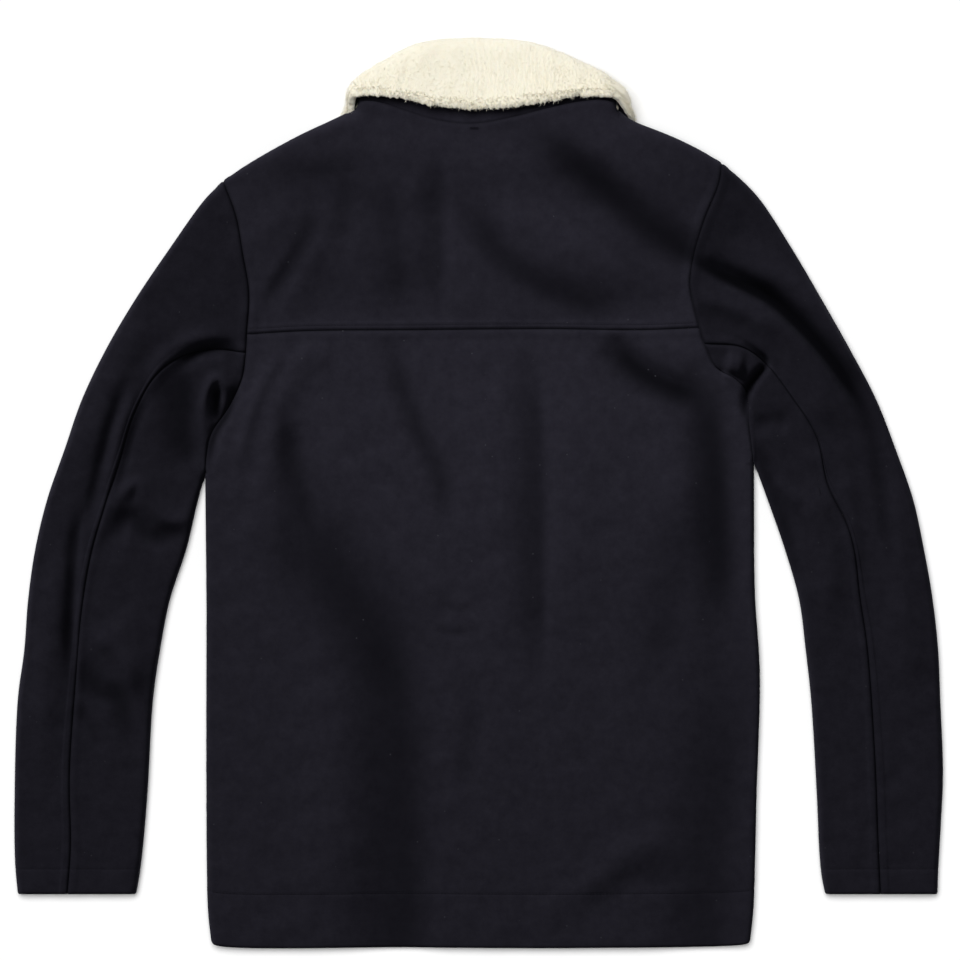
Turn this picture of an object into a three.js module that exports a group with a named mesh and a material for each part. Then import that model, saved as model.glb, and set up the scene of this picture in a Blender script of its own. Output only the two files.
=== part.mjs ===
// A wool jacket with a deep pile collar, laid flat on its front with its back up.
// Millimetres. +X is to the right seen from above, +Y toward the collar, +Z up from the surface.
// The origin is on the surface, under the middle of the jacket's box.
import * as THREE from 'three';

// Driving sizes
const CLOTH = 2.2;          // wool cloth
const SEAM_GAP = 0.3;       // between two pieces at a seam
const EDGE_RADIUS = 5.5;    // folded edge of the body and sleeves: half of two layers and their hollow
const NECK_SWELL = 4;       // what the collar inside the neck adds to that radius
const COLLAR_LIFT = 9;      // how far the collar's leaf under the chest lifts the fronts
const LAP_RISE = 3.2;       // how far the right front rises to lie on the left front
const LAP_LEFT_EDGE = 24;   // front edge of the left front, the outer one when worn
const LAP_RIGHT_EDGE = -19; // front edge of the right front
const HEM = -418;           // bottom of the back
const CUFF = -369;          // end of the sleeves
const LEAF_PILE = 8;        // pile on the leaf that shows
const INNER_PILE = 5;       // pile inside the stand, and on the leaf under the chest
const UNDER_COLLAR = 2;     // wool under the pile of the collar
const COLLAR_TURN = 6;      // between the two layers of the folded collar, at the back of the pile
const COLLAR_GAP = 1.4;     // between the stand and the neck edge that it is sewn to
const MIDDLE_CROWN = 2;     // the back lies a little fuller along its middle

// How many steps each stretch has
const STEPS = {
  shoulder: 6, neckBack: 13, neckFront: 5, armholeHigh: 6, armholeLow: 5, sleeve: 15, side: 10,
};

const WOOL = { color: 0x1c1c24, roughness: 0.95, metalness: 0 };
const PILE = { color: 0xf0e9d2, roughness: 1, metalness: 0 };

// Rows of numbers with named columns
function table(names, rows) {
  return rows.map((row) => Object.fromEntries(names.map((name, column) => [name, row[column]])));
}
const places = (rows) => table(['x', 'y'], rows);

// Seams and folded edges of the two sides, seen from above. Each armhole has a high and a low stretch,
// parted where the sleeve's own seams meet it; the back one is parted at the yoke seam too.
const SIDES = {
  left: {
    armholeBack: places([[-235, 287], [-223, 255], [-217, 222], [-211, 184], [-213, 146]]),
    armholeBackLow: places([[-214, 129], [-217, 107], [-229, 80], [-246, 54], [-250.5, 32], [-251.5, 17]]),
    armholeFront: places([[-235, 287], [-210, 240], [-197, 190], [-200, 130], [-214, 84]]),
    armholeFrontLow: places([[-214, 84], [-233, 52], [-248, 32], [-251.5, 17]]),
    shoulder: places([
      [-235, 287], [-213, 302], [-167, 327.5], [-139, 340.5], [-124, 347.5], [-114, 352],
    ]),
    neckFront: places([[-114, 352], [-98, 320], [-52, 286], [-4, 272]]),
    side: places([[-251.5, 17], [-250.5, -100], [-250.5, -300], [-249, -385], [-246, -413]]),
    outer: places([
      [-235, 287], [-252, 270], [-285, 224], [-316, 178], [-343, 132], [-365, 86], [-381, 40],
      [-397, -6], [-408, -52], [-414.5, -98], [-418, -144], [-424, -190], [-427, -282], [-426.5, -340],
      [-424, CUFF],
    ]),
    inner: places([
      [-251.5, 17], [-258, -6], [-269, -52], [-284, -98], [-293, -144], [-299.5, -190], [-305, -282],
      [-311, -345], [-315, CUFF],
    ]),
    backSeam: places([
      [-214, 129], [-248, 132], [-277, 124], [-298, 107], [-318, 71], [-331, 27],
      [-344, -14], [-356, -56], [-365, -110], [-371, -181], [-376, -260], [-375, -325], [-378, CUFF],
    ]),
    frontSeam: places([
      [-214, 84], [-239, 84], [-262, 54], [-280, 8], [-294, -50], [-319, -144], [-331, -282], [-342, CUFF],
    ]),
  },
  right: {
    armholeBack: places([[224, 303], [221, 284], [208, 252], [199, 222], [194.5, 192], [203, 152]]),
    armholeBackLow: places([[208, 137], [218, 116], [236, 105], [246, 94], [249, 62], [253.5, 28]]),
    armholeFront: places([[224, 303], [207, 240], [194, 190], [196, 132], [212, 90]]),
    armholeFrontLow: places([[212, 90], [232, 60], [249, 42], [253.5, 28]]),
    shoulder: places([
      [224, 303], [206, 314], [178, 327.5], [145, 340.5], [136, 345.5], [129, 351],
    ]),
    neckFront: places([[129, 351], [113, 320], [66, 286], [12, 272]]),
    side: places([[253.5, 28], [254.5, -90], [259, -167], [256, -280], [253, -385], [250, -413]]),
    outer: places([
      [224, 303], [241, 289], [259, 270], [289, 224], [316, 178], [342, 132], [366, 86], [384, 40],
      [400, -6], [410, -52], [418, -98], [423, -144], [425, -190], [427.5, -259], [425.5, -305],
      [423, -350], [422.5, CUFF],
    ]),
    inner: places([
      [253.5, 28], [266, -6], [282, -52], [295, -98], [301, -144], [306, -190], [311.5, -282],
      [313.5, -328], [315.5, -351], [319, CUFF],
    ]),
    backSeam: places([
      [208, 137], [242, 134], [263, 120], [289, 87], [311, 52], [322, 6],
      [339, -29], [346, -54], [351, -95], [358, -144], [365, -246], [368, -325], [370, CUFF],
    ]),
    frontSeam: places([
      [212, 90], [238, 92], [262, 62], [284, 14], [308, -50], [327, -144], [337, -282], [346, CUFF],
    ]),
  },
};

// The seam of the collar on the yoke, from the left neck point to the right one
const NECK_BACK = places([
  [-114, 352], [-108.5, 359], [-98, 360], [-86, 357.5], [-60, 349], [-34, 342], [-4, 339.5],
  [34, 346], [62, 353], [93, 359.5], [112, 361], [123, 358.5], [129, 351],
]);
// The seam between the yoke and the back panel
const YOKE_SEAM = places([[-213, 146], [-160, 149], [-60, 150], [60, 151], [150, 150], [203, 152]]);

// Largest folds of the back, yoke and sleeves: where they start, bend and end, how wide and how high
const FOLDS = table(['x1', 'y1', 'x2', 'y2', 'x3', 'y3', 'width', 'height'], [
  // Back: either side of the long trough down its left half
  [-155, 99, -105, -15, -35, -135, 18, 4],
  [-118, -130, -122, -260, -118, -400, 30, 3.5],
  [-190, 120, -198, 20, -180, -80, 18, 3.5],
  // Back: middle, right and hem
  [-20, 110, 20, 20, 30, -60, 26, 3],
  [75, 120, 85, -20, 65, -150, 38, 3.5],
  [180, 60, 190, -60, 165, -200, 26, 3],
  [110, -330, 140, -305, 160, -322, 16, 2],
  // Yoke
  [-143, 245, -160, 205, -182, 165, 16, 3.5],
  [10, 275, 75, 235, 190, 178, 20, 4.5],
  [30, 335, 120, 300, 200, 250, 30, 3.5],
  [-60, 300, -70, 240, -60, 190, 26, 3],
  // Left sleeve
  [-300, 180, -340, 90, -370, 0, 18, 4],
  [-380, -40, -395, -150, -400, -260, 16, 3.5],
  [-340, -110, -320, -140, -315, -190, 16, 3],
  [-345, -30, -315, 12, -285, -10, 12, 3],
  // Right sleeve
  [225, 228, 300, 178, 362, 85, 14, 6],
  [250, 190, 305, 120, 335, 50, 22, 4],
  [375, 20, 392, -80, 398, -200, 18, 3.5],
  [300, 20, 320, -40, 325, -130, 16, 3.5],
  [232, 122, 240, 118, 246, 112, 9, 5],
]);

// The folded collar: place along the neck seam, the fold at its top, and the free edge of the leaf.
// Places 0 to 1 are the left front, 1 to 2 the back of the neck and 2 to 3 the right front.
const COLLAR = table(['at', 'rollX', 'rollY', 'rollZ', 'edgeX', 'edgeY', 'edgeZ'], [
  [0.0, -6, 296, 8.4, -34, 236, 5.35],
  [0.35, -48, 312, 8.4, -78, 240, 5.35],
  [0.7, -80, 342, 8.4, -116, 272, 5.35],
  [0.9, -100, 360, 9, -125, 320, 5.35],
  [0.96, -106, 365, 12, -126, 339, 5.5],
  [0.98, -109, 367, 16, -127.5, 351, 13],
  [1.0, -112.5, 368.5, 20, -122, 352, 18],
  [1.06, -106, 376, 26, -108, 364, 33],
  [1.16, -86, 388.5, 23, -82, 366, 35],
  [1.3, -50, 406.5, 17, -44, 359, 33],
  [1.45, -4, 410, 14, -2, 355.5, 31],
  [1.6, 46, 406.5, 17, 42, 359, 33],
  [1.82, 94, 388, 23, 90, 365, 35],
  [1.94, 117, 375, 26, 121, 364, 33],
  [2.0, 129.5, 366.5, 19.5, 135, 350, 18],
  [2.04, 121, 364, 12, 139, 339, 5.8],
  [2.1, 115, 359, 9, 139, 320, 5.35],
  [2.3, 95, 342, 8.4, 129, 272, 5.35],
  [2.65, 58, 312, 8.4, 90, 240, 5.35],
  [3.0, 14, 296, 8.4, 44, 236, 5.35],
]);

const smooth = (value) => {
  const t = Math.min(1, Math.max(0, value));
  return t * t * (3 - 2 * t);
};
const mix = (from, to, share) => from + (to - from) * share;
const evenly = (count, from, to) => Array.from({ length: count + 1 }, (_, i) => mix(from, to, i / count));

// How far a point lies outside an ellipse, in mm
function outside(x, y, middleX, middleY, radiusX, radiusY) {
  const reach = Math.hypot((x - middleX) / radiusX, (y - middleY) / radiusY);
  return (reach - 1) * Math.min(radiusX, radiusY);
}

// Height of the underside of the fronts, which lie on the collar's leaf near the neck
const underside = (x, y) => COLLAR_LIFT * smooth(1 - outside(x, y, 6, 300, 145, 84) / 80);

// Half of what both layers and the hollow between them take
const halfDepth = (x, y) => EDGE_RADIUS + NECK_SWELL * smooth(1 - outside(x, y, 6, 345, 128, 34) / 60);

// How far the right front rises, to lie on the left one
const lapRise = (x) => LAP_RISE * smooth((84 - x) / 36);

// How near a point is to a fold, and where along it, from 0 to 1
function nearFold(fold, x, y) {
  const corners = [[fold.x1, fold.y1], [fold.x2, fold.y2], [fold.x3, fold.y3]];
  const legs = [0, 1].map((leg) => {
    const [startX, startY] = corners[leg];
    const runX = corners[leg + 1][0] - startX;
    const runY = corners[leg + 1][1] - startY;
    const share = ((x - startX) * runX + (y - startY) * runY) / (runX ** 2 + runY ** 2);
    const t = Math.min(1, Math.max(0, share));
    return { distance: Math.hypot(x - startX - t * runX, y - startY - t * runY), along: (leg + t) / 2 };
  });
  return legs[0].distance < legs[1].distance ? legs[0] : legs[1];
}

// Height that the folds add at a point
function relief(x, y) {
  let height = MIDDLE_CROWN * smooth(1 - Math.abs(x) / 220) * smooth(1 - Math.abs(y + 60) / 420);
  for (const fold of FOLDS) {
    const { distance, along } = nearFold(fold, x, y);
    const taper = 0.3 + 0.7 * smooth(along / 0.3) * smooth((1 - along) / 0.3);
    height += fold.height * taper * Math.exp(-((distance / fold.width) ** 2));
  }
  return height;
}

// A smooth line through the points of a table, walked by distance
function line(points) {
  const corners = points.map(({ x, y }) => new THREE.Vector3(x, y, 0));
  const spline = new THREE.CatmullRomCurve3(corners, false, 'centripetal');
  spline.arcLengthDivisions = 300;
  const length = spline.getLength();
  const at = (distance) => spline.getPointAt(Math.min(1, Math.max(0, distance / length)));
  return { length, at, marks: (distances) => distances.map(at), beads: spline.getSpacedPoints(120) };
}

// Nearest bead of the folded edges to a place, and the way out from the cloth there
function nearestEdge(place, edges) {
  let found = { distance: Infinity };
  for (const { beads, way } of edges) {
    for (let i = 0; i < beads.length - 1; i += 1) {
      const run = beads[i + 1].clone().sub(beads[i]);
      const share = place.clone().sub(beads[i]).dot(run) / run.lengthSq();
      const foot = beads[i].clone().addScaledVector(run, Math.min(1, Math.max(0, share)));
      const distance = foot.distanceTo(place);
      if (distance < found.distance) {
        const across = new THREE.Vector3(run.y, -run.x, 0).normalize().multiplyScalar(way);
        const toEdge = foot.clone().sub(place);
        if (distance > 0.01) across.add(toEdge.normalize()).normalize();
        found = { distance, out: across };
      }
    }
  }
  return found;
}

// A point of the cloth over a place seen from above: its outer skin and the way that skin faces
function clothPoint(place, edges, layer, rise = 0) {
  const { x, y } = place;
  const half = halfDepth(x, y);
  const { distance, out } = nearestEdge(place, edges);
  const turn = Math.asin(Math.min(1, Math.max(0, 1 - distance / half)));
  const up = layer === 'back' ? 1 : -1;
  const added = layer === 'back' ? relief(x, y) : rise;
  const height = underside(x, y) + half + (up * half + added) * Math.cos(turn);
  const face = out.clone().multiplyScalar(Math.sin(turn)).setZ(up * Math.cos(turn));
  return { p: new THREE.Vector3(x, y, height), n: face };
}

// Shares of the whole length at which the marks of a chain of places lie
function shares(chain) {
  const walked = [0];
  for (let i = 1; i < chain.length; i += 1) walked.push(walked[i - 1] + chain[i].distanceTo(chain[i - 1]));
  return walked.map((distance) => distance / walked[walked.length - 1]);
}

// Places that fill a patch between its first and last rows and its start and end columns
function fill(first, last, start, end) {
  const across = [shares(first), shares(last)];
  const down = [shares(start), shares(end)];
  const corners = [first[0], first[first.length - 1], last[0], last[last.length - 1]];
  return start.map((startPlace, row) => first.map((firstPlace, column) => {
    const [a, b] = [across[0][column], across[1][column]];
    const [c, d] = [down[0][row], down[1][row]];
    const scale = 1 - (d - c) * (b - a);
    const u = mix(a, b, c) / scale;
    const v = mix(c, d, a) / scale;
    const place = firstPlace.clone().lerp(last[column], v);
    place.add(startPlace.clone().lerp(end[row], u));
    const top = corners[0].clone().lerp(corners[1], u);
    const bottom = corners[2].clone().lerp(corners[3], u);
    return place.sub(top.lerp(bottom, v));
  }));
}

// A closed wall between a grid of outer points and a grid of inner points
function wall(name, outer, inner, look) {
  const rows = outer.length;
  const columns = outer[0].length;
  const points = [...outer.flat(), ...inner.flat()];
  const at = (layer, row, column) => (layer * rows + row) * columns + column;
  const index = [];
  const quad = (a, b, c, d) => index.push(a, b, c, a, c, d);
  for (let row = 0; row < rows - 1; row += 1) {
    for (let column = 0; column < columns - 1; column += 1) {
      quad(at(0, row, column), at(0, row, column + 1), at(0, row + 1, column + 1), at(0, row + 1, column));
      quad(at(1, row, column), at(1, row + 1, column), at(1, row + 1, column + 1), at(1, row, column + 1));
    }
  }
  const right = columns - 1;
  for (let row = 0; row < rows - 1; row += 1) {
    quad(at(0, row, 0), at(0, row + 1, 0), at(1, row + 1, 0), at(1, row, 0));
    quad(at(0, row, right), at(1, row, right), at(1, row + 1, right), at(0, row + 1, right));
  }
  const bottom = rows - 1;
  for (let column = 0; column < columns - 1; column += 1) {
    quad(at(0, 0, column), at(1, 0, column), at(1, 0, column + 1), at(0, 0, column + 1));
    quad(at(0, bottom, column), at(0, bottom, column + 1), at(1, bottom, column + 1), at(1, bottom, column));
  }
  let volume = 0;
  for (let i = 0; i < index.length; i += 3) {
    const [a, b, c] = index.slice(i, i + 3).map((corner) => points[corner]);
    volume += a.dot(b.clone().cross(c));
  }
  if (volume < 0) index.reverse();
  const geometry = new THREE.BufferGeometry();
  geometry.setAttribute('position', new THREE.Float32BufferAttribute(points.flatMap((p) => p.toArray()), 3));
  geometry.setIndex(index);
  geometry.computeVertexNormals();
  const mesh = new THREE.Mesh(geometry, new THREE.MeshStandardMaterial(look));
  mesh.name = name;
  return mesh;
}

// Draws the sewn sides of a grid in by half a seam gap
function drawIn(grid, sewn) {
  const lastRow = grid.length - 1;
  const lastColumn = grid[0].length - 1;
  const step = (point, neighbour) => {
    point.p.addScaledVector(neighbour.p.clone().sub(point.p).normalize(), SEAM_GAP / 2);
  };
  if (sewn.includes('first')) grid[0].forEach((point, column) => step(point, grid[1][column]));
  if (sewn.includes('last')) grid[lastRow].forEach((point, column) => step(point, grid[lastRow - 1][column]));
  if (sewn.includes('start')) grid.forEach((row) => step(row[0], row[1]));
  if (sewn.includes('end')) grid.forEach((row) => step(row[lastColumn], row[lastColumn - 1]));
}

// A piece of wool cloth from a grid of its outer points
function woolPiece(name, grid, sewn) {
  drawIn(grid, sewn);
  const outer = grid.map((row) => row.map(({ p }) => p));
  const inner = grid.map((row) => row.map(({ p, n }) => p.clone().addScaledVector(n, -CLOTH)));
  return wall(name, outer, inner, WOOL);
}

// Distances of the marks that go round a folded edge, from the edge inward
const roundEdge = [0, 1, 2].map((step) => EDGE_RADIUS * (1 - Math.cos((step * Math.PI) / 6)));

// Marks along a length whose start, end or both are folded edges
function marks(length, steps, startFolded, endFolded) {
  const start = startFolded ? roundEdge : [];
  const end = endFolded ? roundEdge.map((distance) => length - distance).reverse() : [];
  const from = startFolded ? EDGE_RADIUS : 0;
  const to = length - (endFolded ? EDGE_RADIUS : 0);
  return [...start, ...evenly(steps, from, to), ...end];
}

// Marks along a neck seam, close together where it goes round the shoulder edge
function neckMarks(length, steps, bothEnds) {
  const depth = EDGE_RADIUS + NECK_SWELL;
  const inside = evenly(steps, depth, length - (bothEnds ? depth : 0));
  return [0, depth / 2, ...inside, ...(bothEnds ? [length - depth / 2, length] : [])];
}

// Lines of one side, and the places of their marks
function layOut(sizes, way) {
  const all = Object.fromEntries(Object.entries(sizes).map(([name, points]) => [name, line(points)]));
  const even = (name, steps) => all[name].marks(evenly(steps, 0, all[name].length));
  const { armholeBack, armholeBackLow, armholeFront, armholeFrontLow, neckFront } = all;
  return {
    way,
    armholeBack: armholeBack.marks(marks(armholeBack.length, STEPS.armholeHigh, true, false)),
    armholeBackLow: armholeBackLow.marks(marks(armholeBackLow.length, STEPS.armholeLow, false, true)),
    armholeFront: armholeFront.marks(marks(armholeFront.length, STEPS.armholeHigh, true, false)),
    armholeFrontLow: armholeFrontLow.marks(marks(armholeFrontLow.length, 2, false, true)),
    shoulder: even('shoulder', STEPS.shoulder),
    neckFront: neckFront.marks(neckMarks(neckFront.length, STEPS.neckFront, false)),
    side: even('side', STEPS.side),
    outer: even('outer', STEPS.sleeve),
    inner: even('inner', STEPS.sleeve),
    backSeam: even('backSeam', STEPS.sleeve),
    frontSeam: even('frontSeam', STEPS.sleeve),
    bodyEdges: [
      { beads: all.shoulder.beads, way: -way },
      { beads: all.side.beads, way },
      { beads: all.outer.beads.slice(0, 6), way },
    ],
    sleeveEdges: [
      { beads: all.shoulder.beads, way: -way },
      { beads: all.outer.beads, way },
      { beads: all.inner.beads, way: -way },
    ],
  };
}

const left = layOut(SIDES.left, 1);
const right = layOut(SIDES.right, -1);
const bodyEdges = [...left.bodyEdges, ...right.bodyEdges];
const neckBackLine = line(NECK_BACK);
const neckBack = neckBackLine.marks(neckMarks(neckBackLine.length, STEPS.neckBack, true));
const last = (list) => list[list.length - 1];
const spot = (x, y) => new THREE.Vector3(x, y, 0);

// The yoke: shoulder edges and neck seam above, yoke seam below, an armhole at each side
const yokeTop = [...left.shoulder, ...neckBack.slice(1, -1), ...right.shoulder.slice().reverse()];
const yokeSeamLine = line(YOKE_SEAM);
const yokeSeam = yokeSeamLine.marks(marks(yokeSeamLine.length, yokeTop.length - 7, true, true));

function makeYoke() {
  const grid = fill(yokeTop, yokeSeam, left.armholeBack, right.armholeBack)
    .map((row) => row.map((place) => clothPoint(place, bodyEdges, 'back')));
  return woolPiece('yoke', grid, ['first', 'last', 'start', 'end']);
}

// The back panel: yoke seam above, armholes and side seams at its sides, and the hem
function makeBack() {
  const sides = [left, right].map(({ armholeBack, armholeBackLow, side }) => (
    [last(armholeBack), ...armholeBackLow, ...side.slice(1)]
  ));
  const [from, to] = sides.map(last);
  const hem = line([
    from, spot(from.x + 4, HEM + 2), spot(-60, HEM), spot(100, HEM - 0.5), spot(to.x - 4, HEM + 3), to,
  ]);
  const hemPlaces = hem.marks(marks(hem.length, yokeSeam.length - 7, true, true));
  const grid = fill(yokeSeam, hemPlaces, ...sides)
    .map((row) => row.map((place) => clothPoint(place, bodyEdges, 'back')));
  return woolPiece('back_panel', grid, ['first', 'start', 'end']);
}

// A front, under the back: shoulder and neck above, armhole and side seam outside, and its front edge
function makeFront(name, side, frontEdge, riseAt) {
  const neckEnd = last(side.neckFront);
  const top = [...side.shoulder, ...side.neckFront.slice(1), spot(frontEdge, neckEnd.y - 3)];
  const outer = [...side.armholeFront, ...side.armholeFrontLow.slice(1), ...side.side.slice(1)];
  const corner = last(outer);
  const hem = line([corner, spot(corner.x - 4 * Math.sign(corner.x), HEM + 3), spot(frontEdge, HEM + 1)]);
  const bottom = hem.marks(marks(hem.length, top.length - 4, true, false));
  const front = line([last(top), last(bottom)]);
  const frontPlaces = front.marks(shares(outer).map((share) => share * front.length));
  const grid = fill(top, bottom, outer, frontPlaces)
    .map((row) => row.map((place) => clothPoint(place, bodyEdges, 'front', riseAt(place.x))));
  return woolPiece(name, grid, ['first', 'start']);
}

// A sleeve piece, from its upper layer round a folded edge to its lower layer
function makeSleevePiece(name, side, upper, lower) {
  const layers = [[upper, 'back'], [lower, 'front']].map(([{ first, cuff, start, end }, layer]) => {
    const cuffLine = line(cuff);
    const steps = first.length - 4;
    const cuffPlaces = cuffLine.marks(marks(cuffLine.length, steps, layer === 'front', layer === 'back'));
    return fill(first, cuffPlaces, start, end)
      .map((row) => row.map((place) => clothPoint(place, side.sleeveEdges, layer)));
  });
  const grid = layers[0].map((row, index) => [...row, ...layers[1][index].slice(1)]);
  return woolPiece(name, grid, ['first', 'start', 'end']);
}

function makeTopSleeve(name, side) {
  const armhole = [side.armholeBackLow[0], ...side.armholeBack.slice().reverse()];
  const upperCuff = [last(side.backSeam), last(side.outer)];
  const lowerCuff = [last(side.outer), last(side.frontSeam)];
  return makeSleevePiece(
    name,
    side,
    { first: armhole, cuff: upperCuff, start: side.backSeam, end: side.outer },
    { first: side.armholeFront, cuff: lowerCuff, start: side.outer, end: side.frontSeam },
  );
}

function makeUnderSleeve(name, side) {
  const beneath = side.armholeFrontLow.slice().reverse();
  const upperCuff = [last(side.backSeam), last(side.inner)];
  const lowerCuff = [last(side.inner), last(side.frontSeam)];
  return makeSleevePiece(
    name,
    side,
    { first: side.armholeBackLow, cuff: upperCuff, start: side.backSeam, end: side.inner },
    { first: beneath, cuff: lowerCuff, start: side.inner, end: side.frontSeam },
  );
}

// A value of the collar's table at any place along the neck seam
function collarValue(name, at) {
  const next = Math.min(COLLAR.length - 1, Math.max(1, COLLAR.findIndex((row) => row.at >= at)));
  const [a, b] = [COLLAR[next - 1], COLLAR[next]];
  const [before, after] = [COLLAR[Math.max(0, next - 2)], COLLAR[Math.min(COLLAR.length - 1, next + 1)]];
  const span = b.at - a.at;
  const t = (at - a.at) / span;
  const slopeA = ((b[name] - before[name]) / (b.at - before.at)) * span;
  const slopeB = ((after[name] - a[name]) / (after.at - a.at)) * span;
  const [t2, t3] = [t * t, t * t * t];
  const ends = (2 * t3 - 3 * t2 + 1) * a[name] + (3 * t2 - 2 * t3) * b[name];
  return ends + (t3 - 2 * t2 + t) * slopeA + (t3 - t2) * slopeB;
}

// The neck seam all the way round, with the place of each mark along it and the cloth that it is sewn to
function neckLoop() {
  const stretch = (list, start, layer, rise) => {
    const along = shares(list);
    return list.map((place, index) => (
      { at: start + along[index], ...clothPoint(place, bodyEdges, layer, rise(place.x)) }
    ));
  };
  const leftFront = stretch(left.neckFront.slice().reverse(), 0, 'front', () => 0);
  const back = stretch(neckBack, 1, 'back', () => 0);
  const rightFront = stretch(right.neckFront, 2, 'front', lapRise);
  return [...leftFront.slice(0, -1), ...back, ...rightFront.slice(1)];
}

// One section of the folded collar, along the back of the pile: up the stand, over the fold, down the leaf
function collarSection({ at, p }, index, loop) {
  const value = (name) => ['X', 'Y', 'Z'].map((axis) => collarValue(name + axis, at));
  const roll = new THREE.Vector3(...value('roll'));
  const edge = new THREE.Vector3(...value('edge'));
  const up = roll.clone().sub(p).normalize();
  const next = loop[Math.min(loop.length - 1, index + 1)].p;
  const before = loop[Math.max(0, index - 1)].p;
  const out = next.clone().sub(before).cross(up).normalize();
  const seam = p.clone().addScaledVector(out, -CLOTH - SEAM_GAP / 2).addScaledVector(up, COLLAR_GAP);
  const half = COLLAR_TURN / 2;
  const standTop = roll.clone().addScaledVector(up, -half).addScaledVector(out, -half);
  const leafTop = roll.clone().addScaledVector(up, -half).addScaledVector(out, half);
  const standMiddle = seam.clone().lerp(standTop, 0.5);
  const leafMiddle = leafTop.clone().lerp(edge, 0.5);
  const bends = [seam, standMiddle, standTop, roll, leafTop, leafMiddle, edge];
  const spline = new THREE.CatmullRomCurve3(bends, false, 'centripetal');
  return evenly(2 * (bends.length - 1), 0, 1).map((share) => spline.getPoint(share));
}

// The way each point of a grid faces, away from the cloth inside the collar's fold
function facings(grid) {
  const clamp = (value, most) => Math.min(most, Math.max(0, value));
  return grid.map((row, i) => row.map((_, j) => {
    const down = grid[clamp(i + 1, grid.length - 1)][j].clone().sub(grid[clamp(i - 1, grid.length - 1)][j]);
    const across = row[clamp(j + 1, row.length - 1)].clone().sub(row[clamp(j - 1, row.length - 1)]);
    return across.cross(down).normalize();
  }));
}

// The collar: pile on the side that shows and wool on the side that the fold hides
function makeCollar() {
  const loop = neckLoop();
  const middle = loop.map(collarSection);
  const facing = facings(middle);
  const shifted = (depthAt) => middle.map((row, i) => row.map((point, j) => {
    const moved = point.clone().addScaledVector(facing[i][j], depthAt(loop[i].at, j / (row.length - 1)));
    return moved.setZ(Math.max(0, moved.z));
  }));
  const pileDepth = (at, share) => {
    const onBack = smooth((at - 0.95) / 0.15) * smooth((2.05 - at) / 0.15);
    return SEAM_GAP / 2 + mix(INNER_PILE, LEAF_PILE, onBack * smooth((share - 0.3) / 0.2));
  };
  const pileBack = () => SEAM_GAP / 2;
  const woolBack = () => -SEAM_GAP / 2;
  const woolFace = () => -SEAM_GAP / 2 - UNDER_COLLAR;
  return [
    wall('collar_pile', shifted(pileDepth), shifted(pileBack), PILE),
    wall('under_collar', shifted(woolBack), shifted(woolFace), WOOL),
  ];
}

const object = new THREE.Group();
object.add(makeYoke());
object.add(makeBack());
object.add(makeFront('front_left', left, LAP_LEFT_EDGE, () => 0));
object.add(makeFront('front_right', right, LAP_RIGHT_EDGE, lapRise));
object.add(makeTopSleeve('top_sleeve_left', left));
object.add(makeTopSleeve('top_sleeve_right', right));
object.add(makeUnderSleeve('under_sleeve_left', left));
object.add(makeUnderSleeve('under_sleeve_right', right));
object.add(...makeCollar());

export default object;
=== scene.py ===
import math

import bpy
import numpy as np
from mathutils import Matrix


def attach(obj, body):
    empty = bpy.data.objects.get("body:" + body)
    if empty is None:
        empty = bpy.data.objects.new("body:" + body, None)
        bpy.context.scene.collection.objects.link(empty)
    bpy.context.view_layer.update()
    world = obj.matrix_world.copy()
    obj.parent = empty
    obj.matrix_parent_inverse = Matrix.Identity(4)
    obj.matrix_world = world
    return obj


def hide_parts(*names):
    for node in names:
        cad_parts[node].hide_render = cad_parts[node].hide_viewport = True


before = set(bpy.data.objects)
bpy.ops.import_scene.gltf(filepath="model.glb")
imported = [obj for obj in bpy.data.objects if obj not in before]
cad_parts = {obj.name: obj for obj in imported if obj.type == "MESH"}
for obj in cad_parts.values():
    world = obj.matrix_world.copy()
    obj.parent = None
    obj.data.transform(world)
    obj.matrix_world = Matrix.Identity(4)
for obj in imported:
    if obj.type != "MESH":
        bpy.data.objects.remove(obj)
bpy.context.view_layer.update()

# The jacket lies face down on a plain pale table, with its back up. It is seen from straight above,
# under soft daylight and a large lamp at the upper left, which rakes over the folds of the wool.
PICTURE_WIDTH = 0.8832      # of the table that the picture takes in, in metres
CAMERA_HEIGHT = 8.0
SENSOR = 36.0
PICTURE_MIDDLE = (0.00138, 0.01196)
CLOTH_LEVEL = 0.008

scene = bpy.context.scene
scene.view_settings.view_transform = "Standard"


def lit_alike(name):
    """A collection for things that the same lamps light."""
    made = bpy.data.collections.new(name)
    scene.collection.children.link(made)
    return made


body_cloth = lit_alike("body_cloth")
sleeve_cloth = lit_alike("sleeve_cloth")
collar_cloth = lit_alike("collar_cloth")
only_table = lit_alike("table_only")

table_mesh = bpy.data.meshes.new("table")
table_mesh.from_pydata([(-4, -4, 0), (4, -4, 0), (4, 4, 0), (-4, 4, 0)], [], [(0, 1, 2, 3)])
table_top = bpy.data.objects.new("table", table_mesh)
table_top.location.z = -0.0004
scene.collection.objects.link(table_top)
table_look = bpy.data.materials.new("white_table")
table_look.use_nodes = True
table_shader = table_look.node_tree.nodes["Principled BSDF"]
table_shader.inputs["Base Color"].default_value = (0.86, 0.86, 0.86, 1)
table_shader.inputs["Roughness"].default_value = 0.9
table_shader.inputs["Specular IOR Level"].default_value = 0.0
table_mesh.materials.append(table_look)

world = bpy.data.worlds.new("daylight")
scene.world = world
world.use_nodes = True
world.node_tree.nodes["Background"].inputs["Color"].default_value = (1, 1, 1, 1)
world.node_tree.nodes["Background"].inputs["Strength"].default_value = 0.16


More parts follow.
